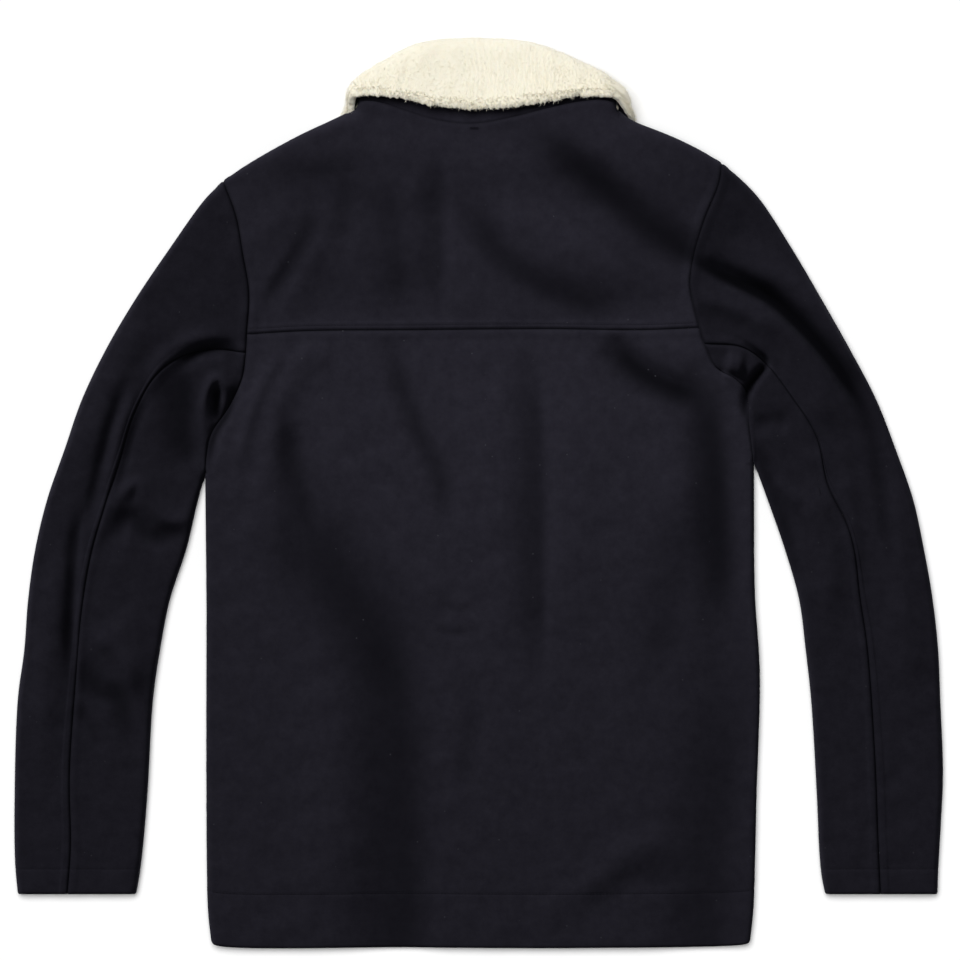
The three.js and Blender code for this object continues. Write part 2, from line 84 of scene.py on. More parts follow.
def lamp(name, kind, energy, toward, only):
    """A soft lamp over the jacket that lights one collection. toward is the way from the jacket to it."""
    light = bpy.data.lights.new(name, kind)
    light.energy = energy
    made = bpy.data.objects.new(name, light)
    x, y, z = toward
    made.rotation_euler = (math.acos(z / math.hypot(x, y, z)), 0, math.atan2(y, x) + math.pi / 2)
    scene.collection.objects.link(made)
    made.light_linking.receiver_collection = only
    return made


def sun(name, energy, angle, toward, only):
    made = lamp(name, "SUN", energy, toward, only)
    made.data.angle = math.radians(angle)
    return made


only_table.objects.link(table_top)
sun("overhead", 3.4, 50, (-0.15, 0.25, 1.0), only_table)
for wool, energy in ((body_cloth, 3.6), (sleeve_cloth, 3.2)):
    window = sun("window", energy, 16, (-0.46, 0.72, 0.34), wool)
    window.light_linking.blocker_collection = wool
sun("sky", 3.0, 40, (-0.30, 0.42, 1.0), collar_cloth)
softbox = lamp("softbox", "AREA", 0.90, (0.03, 0.12, 0.62), body_cloth)
softbox.data.size = 0.3
softbox.location = (0.04, 0.17, 0.44)

camera = bpy.data.cameras.new("camera")
camera.sensor_width = SENSOR
camera.lens = SENSOR * CAMERA_HEIGHT / PICTURE_WIDTH
camera.clip_end = 20
camera_object = bpy.data.objects.new("camera", camera)
camera_object.location = (*PICTURE_MIDDLE, CAMERA_HEIGHT + CLOTH_LEVEL)
scene.collection.objects.link(camera_object)
scene.camera = camera_object

# The yoke: brushed wool melton from shoulder to shoulder, doubled by its turnings at every seam.
# It is sewn to the back panel, to the fronts along the shoulders, to both sleeves and to the collar,
# and topstitched through the turnings just above its lower seam.
CLOTH = 2.2                 # millimetres, as all sizes of the cloth below
SEAM_GAP = 0.3
EDGE_RADIUS = 5.5
NECK_SWELL = 4
COLLAR_LIFT = 9
GRID_STEP = 2.5             # between the points of the cloth
SEAM_DIP = 0.7              # how far cloth rolls down into a seam
TURNING = 9                 # width of the turnings pressed under beside a seam
TURNING_RISE = 0.45         # how much higher the cloth lies over them
TURNING_SLOPE = 3           # from that height down to the plain cloth
SEAM_ROLL = 1.3             # width of the cloth that rolls down into a seam
SEAM_SHADE = 0.55           # painted shade: how far the colour beside a seam is darkened, from 0 to 1
SEAM_SHADE_WIDTH = 1.6
EDGE_ROUNDING = 0.85        # taken off each skin at a cut or turned edge
ROUNDED_WIDTH = 1.1
SEWN_ROUNDING = 0.4         # the share of that rounding at a seam
GROOVE_DEPTH = 0.22         # of the dent that a row of stitches pulls into the cloth
GROOVE_WIDTH = 0.9
TOPSTITCH = 5               # from the seam
MM = 0.001


def table(names, rows):
    return [dict(zip(names.split(), row)) for row in rows]


def smooth(value):
    t = np.clip(value, 0, 1)
    return t * t * (3 - 2 * t)


def bell(distance, width):
    """1 at no distance, fading to 0 some widths away."""
    return np.exp(-((distance / width) ** 2))


def unit(vectors):
    return vectors / np.maximum(np.linalg.norm(vectors, axis=-1, keepdims=True), 1e-9)


def walk(chain):
    """Distance walked along a chain of points to each of them."""
    return np.concatenate([[0], np.cumsum(np.linalg.norm(np.diff(chain, axis=0), axis=1))])


def shares(chain):
    walked = walk(chain)
    return walked / walked[-1]


def walked_to(values, walked, where):
    """Values of a chain at places that lie between its own."""
    return np.stack([np.interp(where, walked, column) for column in values.T], axis=-1)


def eased(t, a, b, slope_a, slope_b):
    """From a to b as t goes from 0 to 1, with a slope given at both ends."""
    return ((2 * t**3 - 3 * t**2 + 1) * a + (3 * t**2 - 2 * t**3) * b
            + (t**3 - 2 * t**2 + t) * slope_a + (t**3 - t**2) * slope_b)


def smooth_chain(corners, beads):
    """A smooth chain of points through corners, with some beads from each corner to the next."""
    chain = [2 * corners[0] - corners[1], *corners, 2 * corners[-1] - corners[-2]]
    share = np.linspace(0, 1, beads, endpoint=False)[:, None]
    runs = []
    for p0, p1, p2, p3 in zip(chain, chain[1:], chain[2:], chain[3:]):
        g0, g1, g2 = (math.dist(a, b) ** 0.5 for a, b in ((p0, p1), (p1, p2), (p2, p3)))
        slope1 = ((p1 - p0) / g0 - (p2 - p0) / (g0 + g1) + (p2 - p1) / g1) * g1
        slope2 = ((p2 - p1) / g1 - (p3 - p1) / (g1 + g2) + (p3 - p2) / g2) * g1
        runs.append(eased(share, p1, p2, slope1, slope2))
    return np.concatenate([*runs, corners[-1:]])


class Line:
    """A smooth line through places, walked by distance."""

    def __init__(self, corners):
        self.beads = smooth_chain(np.array(corners, float), 24)
        self.walked = walk(self.beads)
        self.length = self.walked[-1]

    def at(self, distances):
        return walked_to(self.beads, self.walked, distances)

    def places(self, count, start="sewn", end="sewn", stitched=None):
        """count places along the line, close together at a seam, round a fold and at a row of stitches,
        which lies that far from the end."""
        near = {
            "sewn": np.array([0, 0.6, 1.3, 2.2, 3.6]),
            "folded": EDGE_RADIUS * (1 - np.cos(np.radians([0, 15, 30, 45, 60, 75]))),
            "plain": np.array([0.0]),
        }
        first, final = near[start], self.length - near[end][::-1]
        if stitched:
            dent = self.length - stitched + np.array([-1.6, -0.8, 0, 0.8, 1.6])
            final = final[final > dent[-1] + 0.4]
            turned_up = np.linspace(dent[-1], final[0], 2 + int((final[0] - dent[-1]) / GRID_STEP))[1:-1]
            final = np.concatenate([dent, turned_up, final])
        middle = np.linspace(first[-1], final[0], count - len(first) - len(final) + 2)[1:-1]
        return self.at(np.concatenate([first, middle, final]))


def fill(first, last, start, end):
    """Places that fill a patch between its first and last rows and its start and end columns."""
    a, b = shares(first)[None, :, None], shares(last)[None, :, None]
    c, d = shares(start)[:, None, None], shares(end)[:, None, None]
    scale = 1 - (d - c) * (b - a)
    u = (a + (b - a) * c) / scale
    v = (c + (d - c) * a) / scale
    sides = first[None] * (1 - v) + last[None] * v + start[:, None] * (1 - u) + end[:, None] * u
    top = first[0] * (1 - u) + first[-1] * u
    bottom = last[0] * (1 - u) + last[-1] * u
    return sides - top * (1 - v) - bottom * v


SIDES = {
    "left": {
        "armhole_back": [(-235, 287), (-223, 255), (-217, 222), (-211, 184), (-213, 146)],
        "armhole_back_low": [(-214, 129), (-217, 107), (-229, 80), (-246, 54), (-250.5, 32), (-251.5, 17)],
        "armhole_front": [(-235, 287), (-210, 240), (-197, 190), (-200, 130), (-214, 84)],
        "armhole_front_low": [(-214, 84), (-233, 52), (-248, 32), (-251.5, 17)],
        "shoulder": [(-235, 287), (-213, 302), (-167, 327.5), (-139, 340.5), (-124, 347.5), (-114, 352)],
        "neck_front": [(-114, 352), (-98, 320), (-52, 286), (-4, 272)],
        "side": [(-251.5, 17), (-250.5, -100), (-250.5, -300), (-249, -385), (-246, -413)],
        "outer": [(-235, 287), (-252, 270), (-285, 224), (-316, 178), (-343, 132), (-365, 86),
                  (-381, 40), (-397, -6), (-408, -52), (-414.5, -98), (-418, -144), (-424, -190),
                  (-427, -282), (-426.5, -340), (-424, -369)],
        "inner": [(-251.5, 17), (-258, -6), (-269, -52), (-284, -98), (-293, -144), (-299.5, -190),
                  (-305, -282), (-311, -345), (-315, -369)],
        "back_seam": [(-214, 129), (-248, 132), (-277, 124), (-298, 107), (-318, 71), (-331, 27),
                      (-344, -14), (-356, -56), (-365, -110), (-371, -181), (-376, -260), (-375, -325),
                      (-378, -369)],
        "front_seam": [(-214, 84), (-239, 84), (-262, 54), (-280, 8), (-294, -50), (-319, -144),
                       (-331, -282), (-342, -369)],
    },
    "right": {
        "armhole_back": [(224, 303), (221, 284), (208, 252), (199, 222), (194.5, 192), (203, 152)],
        "armhole_back_low": [(208, 137), (218, 116), (236, 105), (246, 94), (249, 62), (253.5, 28)],
        "armhole_front": [(224, 303), (207, 240), (194, 190), (196, 132), (212, 90)],
        "armhole_front_low": [(212, 90), (232, 60), (249, 42), (253.5, 28)],
        "shoulder": [(224, 303), (206, 314), (178, 327.5), (145, 340.5), (136, 345.5), (129, 351)],
        "neck_front": [(129, 351), (113, 320), (66, 286), (12, 272)],
        "side": [(253.5, 28), (254.5, -90), (259, -167), (256, -280), (253, -385), (250, -413)],
        "outer": [(224, 303), (241, 289), (259, 270), (289, 224), (316, 178), (342, 132), (366, 86),
                  (384, 40), (400, -6), (410, -52), (418, -98), (423, -144), (425, -190), (427.5, -259),
                  (425.5, -305), (423, -350), (422.5, -369)],
        "inner": [(253.5, 28), (266, -6), (282, -52), (295, -98), (301, -144), (306, -190), (311.5, -282),
                  (313.5, -328), (315.5, -351), (319, -369)],
        "back_seam": [(208, 137), (242, 134), (263, 120), (289, 87), (311, 52), (322, 6), (339, -29),
                      (346, -54), (351, -95), (358, -144), (365, -246), (368, -325), (370, -369)],
        "front_seam": [(212, 90), (238, 92), (262, 62), (284, 14), (308, -50), (327, -144), (337, -282),
                       (346, -369)],
    },
}
left, right = ({name: Line(places) for name, places in SIDES[side].items()} for side in ("left", "right"))
neck_back = Line([(-114, 352), (-108.5, 359), (-98, 360), (-86, 357.5), (-60, 349), (-34, 342), (-4, 339.5),
                  (34, 346), (62, 353), (93, 359.5), (112, 361), (123, 358.5), (129, 351)])
yoke_seam = Line([(-213, 146), (-160, 149), (-60, 150), (60, 151), (150, 150), (203, 152)])

# Folds of the whole garment: the path of each, how wide and how high (troughs are negative), and how
# much steeper it is on the left of its path (to 1) or on the right of it (to -1).
FOLDS = table("path width height lean", [
    # Largest folds of the back
    ([(-155, 99), (-112, 0), (-65, -75), (-35, -135)], 18, 4, 0),
    ([(-118, -130), (-122, -260), (-118, -400)], 30, 3.5, 0),
    ([(-190, 120), (-198, 20), (-180, -80)], 18, 3.5, 0),
    ([(-20, 110), (20, 20), (30, -60)], 26, 3, 0),
    ([(75, 120), (85, -20), (65, -150)], 38, 3.5, 0),
    ([(180, 60), (190, -60), (165, -200)], 26, 3, 0),
    # Largest folds of the yoke
    ([(-143, 245), (-160, 205), (-182, 165)], 16, 3.5, 0),
    ([(10, 275), (75, 235), (190, 178)], 20, 4.5, 0),
    ([(30, 335), (120, 300), (200, 250)], 30, 3.5, 0),
    ([(-60, 300), (-70, 240), (-60, 190)], 26, 3, 0),
    # Largest folds of the sleeves
    ([(-300, 180), (-340, 90), (-370, 0)], 18, 4, 0),
    ([(-380, -40), (-395, -150), (-400, -260)], 16, 3.5, 0),
    ([(-340, -110), (-320, -140), (-315, -190)], 16, 3, 0),
    ([(225, 228), (300, 178), (362, 85)], 14, 6, 0),
    ([(250, 190), (305, 120), (335, 50)], 22, 4, 0),
    ([(375, 20), (392, -80), (398, -200)], 18, 3.5, 0),
    ([(300, 20), (320, -40), (325, -130)], 16, 3.5, 0),
    # Yoke
    ([(-148, 265), (-164, 225), (-180, 198), (-203, 157)], 8, -4.0, -0.2),
    ([(-116, 295), (-122, 259), (-126, 224)], 11, -2.4, 0),
    ([(-85, 297), (-76, 224), (-70, 150)], 20, -4.0, 0.2),
    ([(-37, 316), (-37, 233), (-37, 159)], 13, -3.6, 0.35),
    ([(38, 338), (75, 312), (110, 286), (155, 248), (195, 222), (208, 213)], 18, -7.4, 0.1),
    ([(75, 257), (126, 222), (165, 190)], 5, -1.3, 0),
    ([(-10, 265), (3, 242), (26, 213), (71, 186), (112, 172), (150, 172)], 15, -5.6, 0.1),
    ([(-192, 292), (-146, 293), (-98, 297)], 10, -1.8, 0),
    ([(-233, 213), (-199, 233), (-164, 270)], 14, 1.6, 0),
    ([(-164, 343), (-148, 233), (-137, 122)], 40, -2.4, 0),
    # Back, its left half
    ([(-118, 135), (-159, 124), (-181, 87), (-190, 21), (-183, -71)], 12, 2.8, -0.1),
    ([(-177, 132), (-197, 104), (-215, 56), (-221, 7)], 7.5, 3.4, 0),
    ([(-86, 148), (-73, 106), (-54, 56), (-31, 1), (-29, -36)], 9, -4.2, 0),
    ([(-177, 72), (-168, 21), (-153, -48)], 11, -4.6, 0),
    ([(-172, -6), (-133, -75), (-96, -135), (-78, -227)], 34, -8.6, 0.1),
    ([(-83, -117), (-72, -227), (-69, -328), (-69, -430), (-70, -522)], 33, -7.4, 0.2),
    ([(-35, -97), (-22, -109), (-2, -106)], 5, -0.9, 0),
    ([(-39, -122), (-22, -130), (-4, -125)], 5, -0.9, 0),
    ([(-8, -181), (-4, -227), (-10, -282)], 10, -1.4, 0),
    # Back, its right half
    ([(47, 145), (55, 67), (57, -43), (57, -117), (54, -190)], 14, -4.2, 0.45),
    ([(117, 150), (141, 119), (178, 97), (218, 87)], 13.5, -8.4, 0.2),
    ([(149, 144), (180, 130), (209, 109)], 12, 2.6, 0),
    ([(204, 111), (215, 49), (222, -43), (224, -154)], 17, -6.8, 0.1),
    ([(204, 12), (178, -98), (163, -190)], 22, -3.4, 0.1),
    ([(239, -117), (224, -246), (215, -328), (209, -411), (207, -485)], 30, -5.2, 0.1),
    ([(38, -388), (103, -361), (149, -327), (195, -317)], 13, 1.5, 0),
    ([(98, -388), (139, -360), (195, -349)], 15, -1.8, 0),
    # Left underarm: the sleeve's fulness bunched at the seam
    ([(-306, 84), (-292, 121), (-269, 138), (-229, 146)], 8, 2.4, 0),
    ([(-280, 109), (-266, 125), (-249, 132), (-229, 132), (-219, 113)], 6, -6.0, 0),
    ([(-252, 49), (-251, 89), (-242, 105), (-233, 97), (-229, 75)], 4, 4.4, 0),
    ([(-240, 62), (-241, 82), (-241, 100)], 4, -7.0, 0),
    ([(-219, 109), (-230, 75), (-243, 53), (-249, 12)], 4, -6.5, 0),
    ([(-267, 121), (-271, 67), (-265, 12)], 14, -5.6, 0.2),
    # Left sleeve
    ([(-363, -11), (-370, -43), (-373, -89), (-375, -140), (-373, -185)], 5.5, -4.2, 0.2),
    ([(-321, 113), (-335, 71), (-345, 35), (-354, -4), (-363, -43)], 6, -2.6, 0),
    ([(-311, 104), (-326, 67), (-336, 30), (-345, -6)], 6, 2.6, 0),
    ([(-300, 99), (-317, 58), (-329, 12)], 5, -1.6, 0),
    ([(-346, -34), (-330, -4), (-315, 7), (-305, -6), (-289, -24), (-274, -26), (-262, -8)], 6, 4.0, 0),
    ([(-341, -51), (-321, -23), (-300, -40), (-273, -41)], 8, -4.6, 0),
    ([(-367, -126), (-339, -141), (-322, -162), (-312, -198)], 8, 3.2, 0),
    ([(-367, -149), (-351, -181), (-330, -192), (-316, -249)], 10, -4.8, 0),
    ([(-369, -196), (-356, -216), (-342, -238)], 5, -1.8, 0),
    # Right underarm
    ([(226, 119), (236, 117), (246, 116)], 11, 6.5, 0),
    ([(239, 141), (256, 128), (264, 119), (255, 106), (247, 93), (246, 75), (253, 58)], 3.4, -8.5, 0),
    ([(218, 115), (233, 109), (247, 102)], 2.6, -1.6, 0),
    ([(250, 62), (271, 66), (288, 63)], 7, -2.4, 0),
    # Right sleeve
    ([(187, 220), (215, 204), (266, 179), (291, 158), (322, 124), (347, 88), (371, 40)], 7.2, -12.0, -0.2),
    ([(195, 185), (222, 174), (254, 160), (279, 143)], 9, 3.2, 0),
    ([(353, 81), (368, 30), (375, -25), (385, -75)], 8, -2.6, 0),
    ([(256, 49), (266, 17), (284, -34), (298, -102)], 7, -3.0, 0),
    ([(270, 14), (283, 1), (299, -14)], 5, 2.2, 0),
    ([(333, 49), (344, -25), (349, -98)], 8, 1.8, 0),
])
FOLD_FADE = 0.3             # share of a fold's path over which it fades at each end
FOLD_END = 0.1              # share of its height that is left there
DEEPEST = -5.0              # that a trough sinks below the plain cloth
WIDE_FOLD = 22              # a wider trough gets less painted shade
DARK_DEPTH = 9.0            # of a fold whose trough gets the full painted shade
MIDDLE_SWELL = 2            # how much the middle of the back stands up
SWELL_MIDDLE = -60          # its place down the back
SWELL_SIZE = (220, 420)
LAP_HEIGHT = 3.2            # of the right front where it lies on the left one
LAP_START = 84              # where it begins to rise
LAP_SLOPE = 36
NECK_MIDDLE = (6, 345)      # the cloth swells round an oval at the neck
NECK_RADII = (128, 34)
NECK_SLOPE = 60
COLLAR_MIDDLE = (6, 300)    # the collar's leaf lies below an oval and lifts the cloth over it
COLLAR_RADII = (145, 84)
COLLAR_SLOPE = 80


def fold_height(x, y, fold):
    """Height that one fold adds at each place."""
    beads = Line(fold["path"]).beads[::4]
    reach = 3 * fold["width"] * (1 + abs(fold["lean"]))
    near = ((x > beads[:, 0].min() - reach) & (x < beads[:, 0].max() + reach)
            & (y > beads[:, 1].min() - reach) & (y < beads[:, 1].max() + reach))
    px, py = x[near], y[near]
    best = np.full(px.shape, 1e9)
    share, side = np.zeros(px.shape), np.zeros(px.shape)
    for index, (a, b) in enumerate(zip(beads, beads[1:])):
        run = b - a
        t = np.clip(((px - a[0]) * run[0] + (py - a[1]) * run[1]) / (run @ run), 0, 1)
        dx, dy = px - a[0] - t * run[0], py - a[1] - t * run[1]
        distance = np.hypot(dx, dy)
        closer = distance < best
        best = np.where(closer, distance, best)
        share = np.where(closer, (index + t) / (len(beads) - 1), share)
        side = np.where(closer, np.sign(run[0] * dy - run[1] * dx), side)
    faded = smooth(share / FOLD_FADE) * smooth((1 - share) / FOLD_FADE)
    taper = FOLD_END + (1 - FOLD_END) * faded
    height = np.zeros(x.shape)
    width = fold["width"] * (1 - fold["lean"] * side)
    height[near] = fold["height"] * taper * bell(best, width)
    return height


def unevenness(x, y):
    """The slight waviness of cloth that has been worn and laid down."""
    waves = table("length turn height", [
        (61, 0.35, 0.22),
        (43, 1.4, 0.16),
        (37, 2.4, 0.12),
        (23, 0.9, 0.04),
        (19, 2.0, 0.035),
        (13, 2.9, 0.015),
    ])
    total = np.zeros(x.shape)
    for wave in waves:
        cos, sin = math.cos(wave["turn"]), math.sin(wave["turn"])
        wander = 1.3 * np.sin((y * cos - x * sin) / (0.4 * wave["length"]))
        along = 2 * math.pi * (x * cos + y * sin) / wave["length"]
        total += wave["height"] * np.sin(along + 5 * wave["turn"] + wander)
    return total


def relief(x, y):
    """Height of the back layer's folds, and how deep each place lies in a trough, from 0 to 1, which sets
    how far painted shade darkens the colour there.
    """
    across, down = SWELL_SIZE
    swell = smooth(1 - np.abs(x) / across) * smooth(1 - np.abs(y - SWELL_MIDDLE) / down)
    height = MIDDLE_SWELL * swell + unevenness(x, y)
    trough = np.zeros(x.shape)
    for fold in FOLDS:
        added = fold_height(x, y, fold)
        height += added
        # painted shade: each trough adds to how dark the colour is painted there, less so a wide one
        if fold["height"] < 0:
            trough -= added * min(1, WIDE_FOLD / fold["width"])
    height = np.where(height < 0, DEEPEST * np.tanh(height / DEEPEST), height)
    return height, np.clip(trough / DARK_DEPTH, 0, 1)


def within(x, y, middle, radii, slope):
    """1 inside an oval, falling to 0 over a slope outside it."""
    reach = np.hypot((x - middle[0]) / radii[0], (y - middle[1]) / radii[1])
    return smooth(1 - (reach - 1) * min(radii) / slope)


def lap_rise(x, y):
    """How far the right front rises, to lie on the left one."""
    return LAP_HEIGHT * smooth((LAP_START - x) / LAP_SLOPE)


ON_EDGE = 0.01              # a place nearer than this lies on the edge itself
EDGE_REACH = 20             # beyond which an edge no longer shapes the cloth


def nearest_edge(places, edges):
    """Distance to the nearest folded edge, and the way out from the cloth there."""
    best = np.full(len(places), 1e9)
    out = np.zeros((len(places), 2))
    for line, way in edges:
        beads = line.beads[::3]
        in_reach = (places > beads.min(0) - EDGE_REACH) & (places < beads.max(0) + EDGE_REACH)
        near = np.nonzero(in_reach.all(1))[0]
        for a, b in zip(beads, beads[1:]):
            run = b - a
            t = np.clip((places[near] - a) @ run / (run @ run), 0, 1)[:, None]
            away = a + t * run - places[near]
            distance = np.linalg.norm(away, axis=1)
            closer = distance < best[near]
            at = near[closer]
            across = np.array([run[1], -run[0]]) * way / np.linalg.norm(run)
            gap = distance[closer, None]
            toward = across + np.where(gap > ON_EDGE, away[closer] / np.maximum(gap, ON_EDGE), 0)
            best[at] = distance[closer]
            out[at] = unit(toward)
    return best, out


def cloth(places, edges, layer, rise=None):
    """Points of the cloth's outer skin over places seen from above, and the way that skin faces."""
    shape = places.shape[:-1]
    flat = places.reshape(-1, 2)
    x, y = flat.T
    half = EDGE_RADIUS + NECK_SWELL * within(x, y, NECK_MIDDLE, NECK_RADII, NECK_SLOPE)
    floor = COLLAR_LIFT * within(x, y, COLLAR_MIDDLE, COLLAR_RADII, COLLAR_SLOPE)
    distance, out = nearest_edge(flat, edges)
    turn = np.arcsin(np.clip(1 - distance / half, 0, 1))
    up = 1 if layer == "back" else -1
    added = relief(x, y)[0] if layer == "back" else (rise(x, y) if rise else 0)
    z = floor + half + (up * half + added) * np.cos(turn)
    points = np.stack([x, y, z], axis=-1)
    faces = np.concatenate([out * np.sin(turn)[:, None], (up * np.cos(turn))[:, None]], axis=1)
    return points.reshape(*shape, 3), faces.reshape(*shape, 3)


def grid_quads(rows, columns, offset=0):
    at = offset + np.arange(rows * columns).reshape(rows, columns)
    return np.stack([at[:-1, :-1], at[:-1, 1:], at[1:, 1:], at[1:, :-1]], axis=-1).reshape(-1, 4)


def piece(name, points, faces, look, lit_with=body_cloth, painted_shade=None):
    """A mesh object of the garment from points in millimetres, none of them below the table's top."""
    points = np.concatenate([points[:, :2], np.maximum(points[:, 2:], 0)], axis=1)
    mesh = bpy.data.meshes.new(name)
    mesh.vertices.add(len(points))
    mesh.vertices.foreach_set("co", (points * MM).astype(np.float32).ravel())
    mesh.loops.add(faces.size)
    mesh.loops.foreach_set("vertex_index", faces.astype(np.int32).ravel())
    mesh.polygons.add(len(faces))
    mesh.polygons.foreach_set("loop_start", np.arange(0, faces.size, faces.shape[1], dtype=np.int32))
    mesh.polygons.foreach_set("use_smooth", np.ones(len(faces), bool))
    mesh.update(calc_edges=True)
    mesh.validate()
    mesh.materials.append(look)
    # painted shade of the troughs and seams, kept on each point for the material
    if painted_shade is not None:
        mesh.attributes.new("painted_shade", "FLOAT", "POINT").data.foreach_set("value", painted_shade.astype(np.float32))
    made = bpy.data.objects.new(name, mesh)
    scene.collection.objects.link(made)
    lit_with.objects.link(made)
    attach(made, "root")
    return made


def wall_faces(rows, columns):
    """Faces of a closed wall between an outer and an inner grid."""
    outer = np.arange(rows * columns).reshape(rows, columns)
    inner = outer + rows * columns
    rim = [(outer[0], inner[0]), (outer[:, -1], inner[:, -1]), (outer[-1, ::-1], inner[-1, ::-1]),
           (outer[::-1, 0], inner[::-1, 0])]
    sides = [np.stack([a[1:], a[:-1], b[:-1], b[1:]], axis=-1) for a, b in rim]
    inside = grid_quads(rows, columns, rows * columns)[:, ::-1]
    return np.concatenate([grid_quads(rows, columns), inside, *sides])


def from_side(grid, side):
    """The same grid, turned so that the side named is its first row."""
    turned = grid if side in ("first", "last") else grid.swapaxes(0, 1)
    return turned if side in ("first", "start") else turned[::-1]


def beside(grid, side):
    """Distance of each point of a grid from one of its sides, in millimetres."""
    walked = np.zeros(grid.shape[:2])
    steps = np.linalg.norm(np.diff(from_side(grid, side), axis=0), axis=-1)
    from_side(walked, side)[1:] = np.cumsum(steps, axis=0)
    return walked


def walk_at(grid, distance, at):
    """Values of a grid along the line that lies a distance from its last row."""
    row = np.argmax(distance < at, axis=0)
    column = np.arange(grid.shape[1])
    near, far = distance[row, column], distance[row - 1, column]
    share = ((far - at) / (far - near))[:, None]
    return grid[row - 1, column] * (1 - share) + grid[row, column] * share


stitched_runs = []


def wool_wall(name, node, points, faces, sewn, stitched, cut, lit_with=body_cloth):
    """A piece of melton: skin and inside a cloth's thickness apart, rolled down into its seams. It stands
    for a node of the frame; cut, its flat size and how it lies, is not used."""
    seam_painted_shade = np.zeros(points.shape[:2])
    for side in sewn:
        distance = beside(points, side)
        # painted shade: the colour darkens in a narrow band beside each seam
        seam_painted_shade = np.maximum(seam_painted_shade, SEAM_SHADE * bell(distance, SEAM_SHADE_WIDTH))
        edge, beyond = from_side(points, side)[:2]
        edge += unit(beyond - edge) * SEAM_GAP / 2
        turned_under = smooth((TURNING - distance) / TURNING_SLOPE)
        rise = TURNING_RISE * turned_under - SEAM_DIP * bell(distance, SEAM_ROLL)
        points = points + faces * rise[..., None]
    for side, at in stitched:
        distance = beside(points, side)
        points = points - faces * GROOVE_DEPTH * bell(distance - at, GROOVE_WIDTH)[..., None]
        stitched_runs.append((walk_at(points, distance, at), walk_at(faces, distance, at)))
    inside = points - faces * CLOTH
    for side in ("first", "last", "start", "end"):
        rounding = EDGE_ROUNDING * bell(beside(points, side), ROUNDED_WIDTH)
        rounding *= SEWN_ROUNDING if side in sewn else 1
        points = points - faces * rounding[..., None]
        inside = inside + faces * rounding[..., None]
    rows, columns = points.shape[:2]
    quads = wall_faces(rows, columns)
    corner = points[0, 0], points[0, 1], points[1, 0]
    facing = np.dot(np.cross(corner[1] - corner[0], corner[2] - corner[0]), faces[0, 0])
    if facing > 0:
        quads = quads[:, ::-1]
    flat = points.reshape(-1, 3)
    # painted shade: how far the colour darkens in the folds' troughs, on the upward skin, and beside the
    # seams
    painted_shade = np.maximum(relief(flat[:, 0], flat[:, 1])[1] * (faces[..., 2].ravel() > 0), seam_painted_shade.ravel())
    made = piece(name, np.concatenate([flat, inside.reshape(-1, 3)]), quads, navy_melton, lit_with,
                 np.concatenate([painted_shade, painted_shade]))
    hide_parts(node)


def add_node(tree, kind, values=(), **settings):
    """A shader node with some of its settings, and with the values of some of its sockets."""
    made = tree.nodes.new(kind)
    for name, value in settings.items():
        setattr(made, name, value)
    for socket, value in dict(values).items():
        made.inputs[socket].default_value = value
    return made


def join(tree, *links):
    """Links in a node tree, each from a node's output to a node's input."""
    for source, output, target, socket in links:
        tree.links.new(source.outputs[output], target.inputs[socket])


def brushed_wool_group():
    """Felted wool: nap in soft patches, fine crossed fibres and a few pale specks of lint."""
    group = bpy.data.node_groups.new("brushed_wool", "ShaderNodeTree")
    for name, value in (("Nap Size", 90), ("Fibre Size", 1500), ("Lint Size", 160), ("Lint Amount", 0.04)):
        socket = group.interface.new_socket(name, in_out="INPUT", socket_type="NodeSocketFloat")
        socket.default_value = value
    for name in ("Nap", "Fibre Height", "Lint"):
        group.interface.new_socket(name, in_out="OUTPUT", socket_type="NodeSocketFloat")
    start, end = add_node(group, "NodeGroupInput"), add_node(group, "NodeGroupOutput")
    place = add_node(group, "ShaderNodeTexCoord")
    nap = add_node(group, "ShaderNodeTexNoise", {"Detail": 5, "Roughness": 0.8})
    fibre = add_node(group, "ShaderNodeTexNoise", {"Detail": 3, "Roughness": 0.7, "Distortion": 1.4})
    lint = add_node(group, "ShaderNodeTexVoronoi")
    few = add_node(group, "ShaderNodeMath", operation="LESS_THAN")
    round_speck = add_node(group, "ShaderNodeMapRange", {"From Min": 0.14, "From Max": 0.05})
    speck = add_node(group, "ShaderNodeMath", operation="MULTIPLY")
    pick = add_node(group, "ShaderNodeSeparateColor")
    for texture, size in ((nap, "Nap Size"), (fibre, "Fibre Size"), (lint, "Lint Size")):
        join(group, (place, "Object", texture, "Vector"), (start, size, texture, "Scale"))
    join(group,
         (lint, "Color", pick, "Color"),
         (pick, "Red", few, 0),
         (start, "Lint Amount", few, 1),
         (lint, "Distance", round_speck, "Value"),
         (round_speck, "Result", speck, 0),
         (few, "Value", speck, 1),
         (nap, "Fac", end, "Nap"),
         (fibre, "Fac", end, "Fibre Height"),
         (speck, "Value", end, "Lint"))
    return group


def felted_look(name, deep, pale, bump_height, finish):
    """A fuzzy material, and its nodes: the shader, the wool's pattern and the mix of its two colours."""
    look = bpy.data.materials.new(name)
    look.use_nodes = True
    tree = look.node_tree
    shader = tree.nodes["Principled BSDF"]
    for socket, value in finish.items():
        shader.inputs[socket].default_value = value
    wool = add_node(tree, "ShaderNodeGroup", node_tree=brushed_wool)
    shade = add_node(tree, "ShaderNodeMix", {"A": (*deep, 1), "B": (*pale, 1)}, data_type="RGBA")
    bump = add_node(tree, "ShaderNodeBump", {"Strength": 0.5, "Distance": bump_height})
    join(tree, (wool, "Fibre Height", bump, "Height"), (bump, "Normal", shader, "Normal"))
    return look, shader, wool, shade


